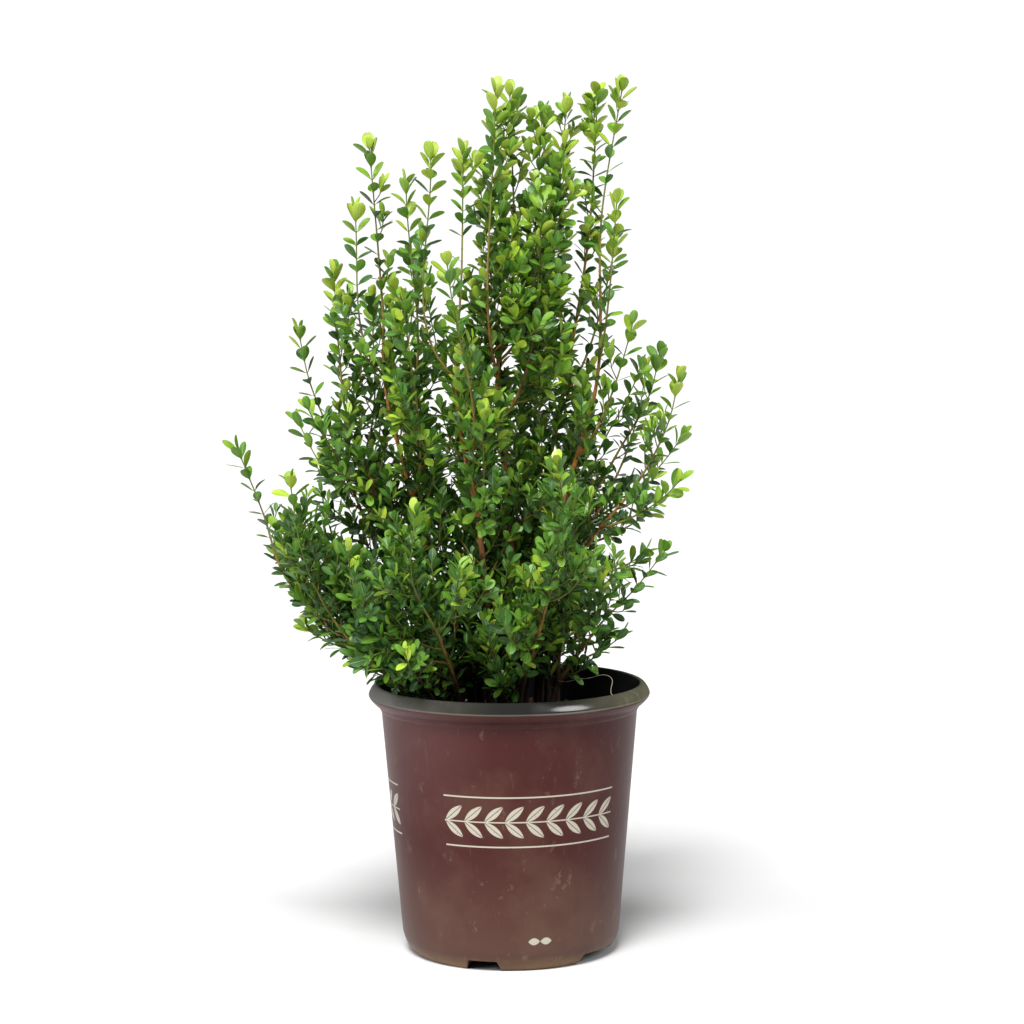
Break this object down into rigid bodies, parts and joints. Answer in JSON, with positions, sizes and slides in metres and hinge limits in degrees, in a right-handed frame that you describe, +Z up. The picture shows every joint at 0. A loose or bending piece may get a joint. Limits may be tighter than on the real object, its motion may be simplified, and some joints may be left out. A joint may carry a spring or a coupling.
{
  "type": "potted boxwood",
  "caption": "Young upright boxwood shrub with small rounded leaves, standing in potting soil in a round tapering plastic nursery pot with a rolled rim and a foot ring.",
  "frame": {"origin": "centre of the pot's underside, on the surface that the pot stands on", "axes": "+Z up, -Y towards the viewer of the picture, +X to the viewer's right"},
  "size_m": [0.4016, 0.3048, 0.7431],
  "materials": {
    "pot_plastic": "maroon brown polyethylene, semi-matt with scuffs, grey-black on the rim and the inside",
    "potting_soil": "dark bark-based potting mix with pale grains",
    "boxwood": "glossy leaves, dark green inside and yellow-green at the tips, on green twigs and light brown bark"
  },
  "bodies": {
    "root": {"pot": "pot_plastic", "soil": "potting_soil", "stem_tall_middle": "boxwood", "stem_tall_right": "boxwood", "stem_tall_far_right": "boxwood", "stem_tall_left": "boxwood", "stem_left_spire": "boxwood", "stem_left_middle": "boxwood", "stem_left_back": "boxwood", "stem_far_left": "boxwood", "stem_low_left": "boxwood", "stem_right_high": "boxwood", "stem_right_middle": "boxwood", "stem_right_low": "boxwood", "stem_front_left": "boxwood", "stem_front_right": "boxwood", "stem_back_left": "boxwood", "stem_back_middle": "boxwood", "stem_back_right": "boxwood", "stem_over_rim": "boxwood"}
  },
  "joints": []
}
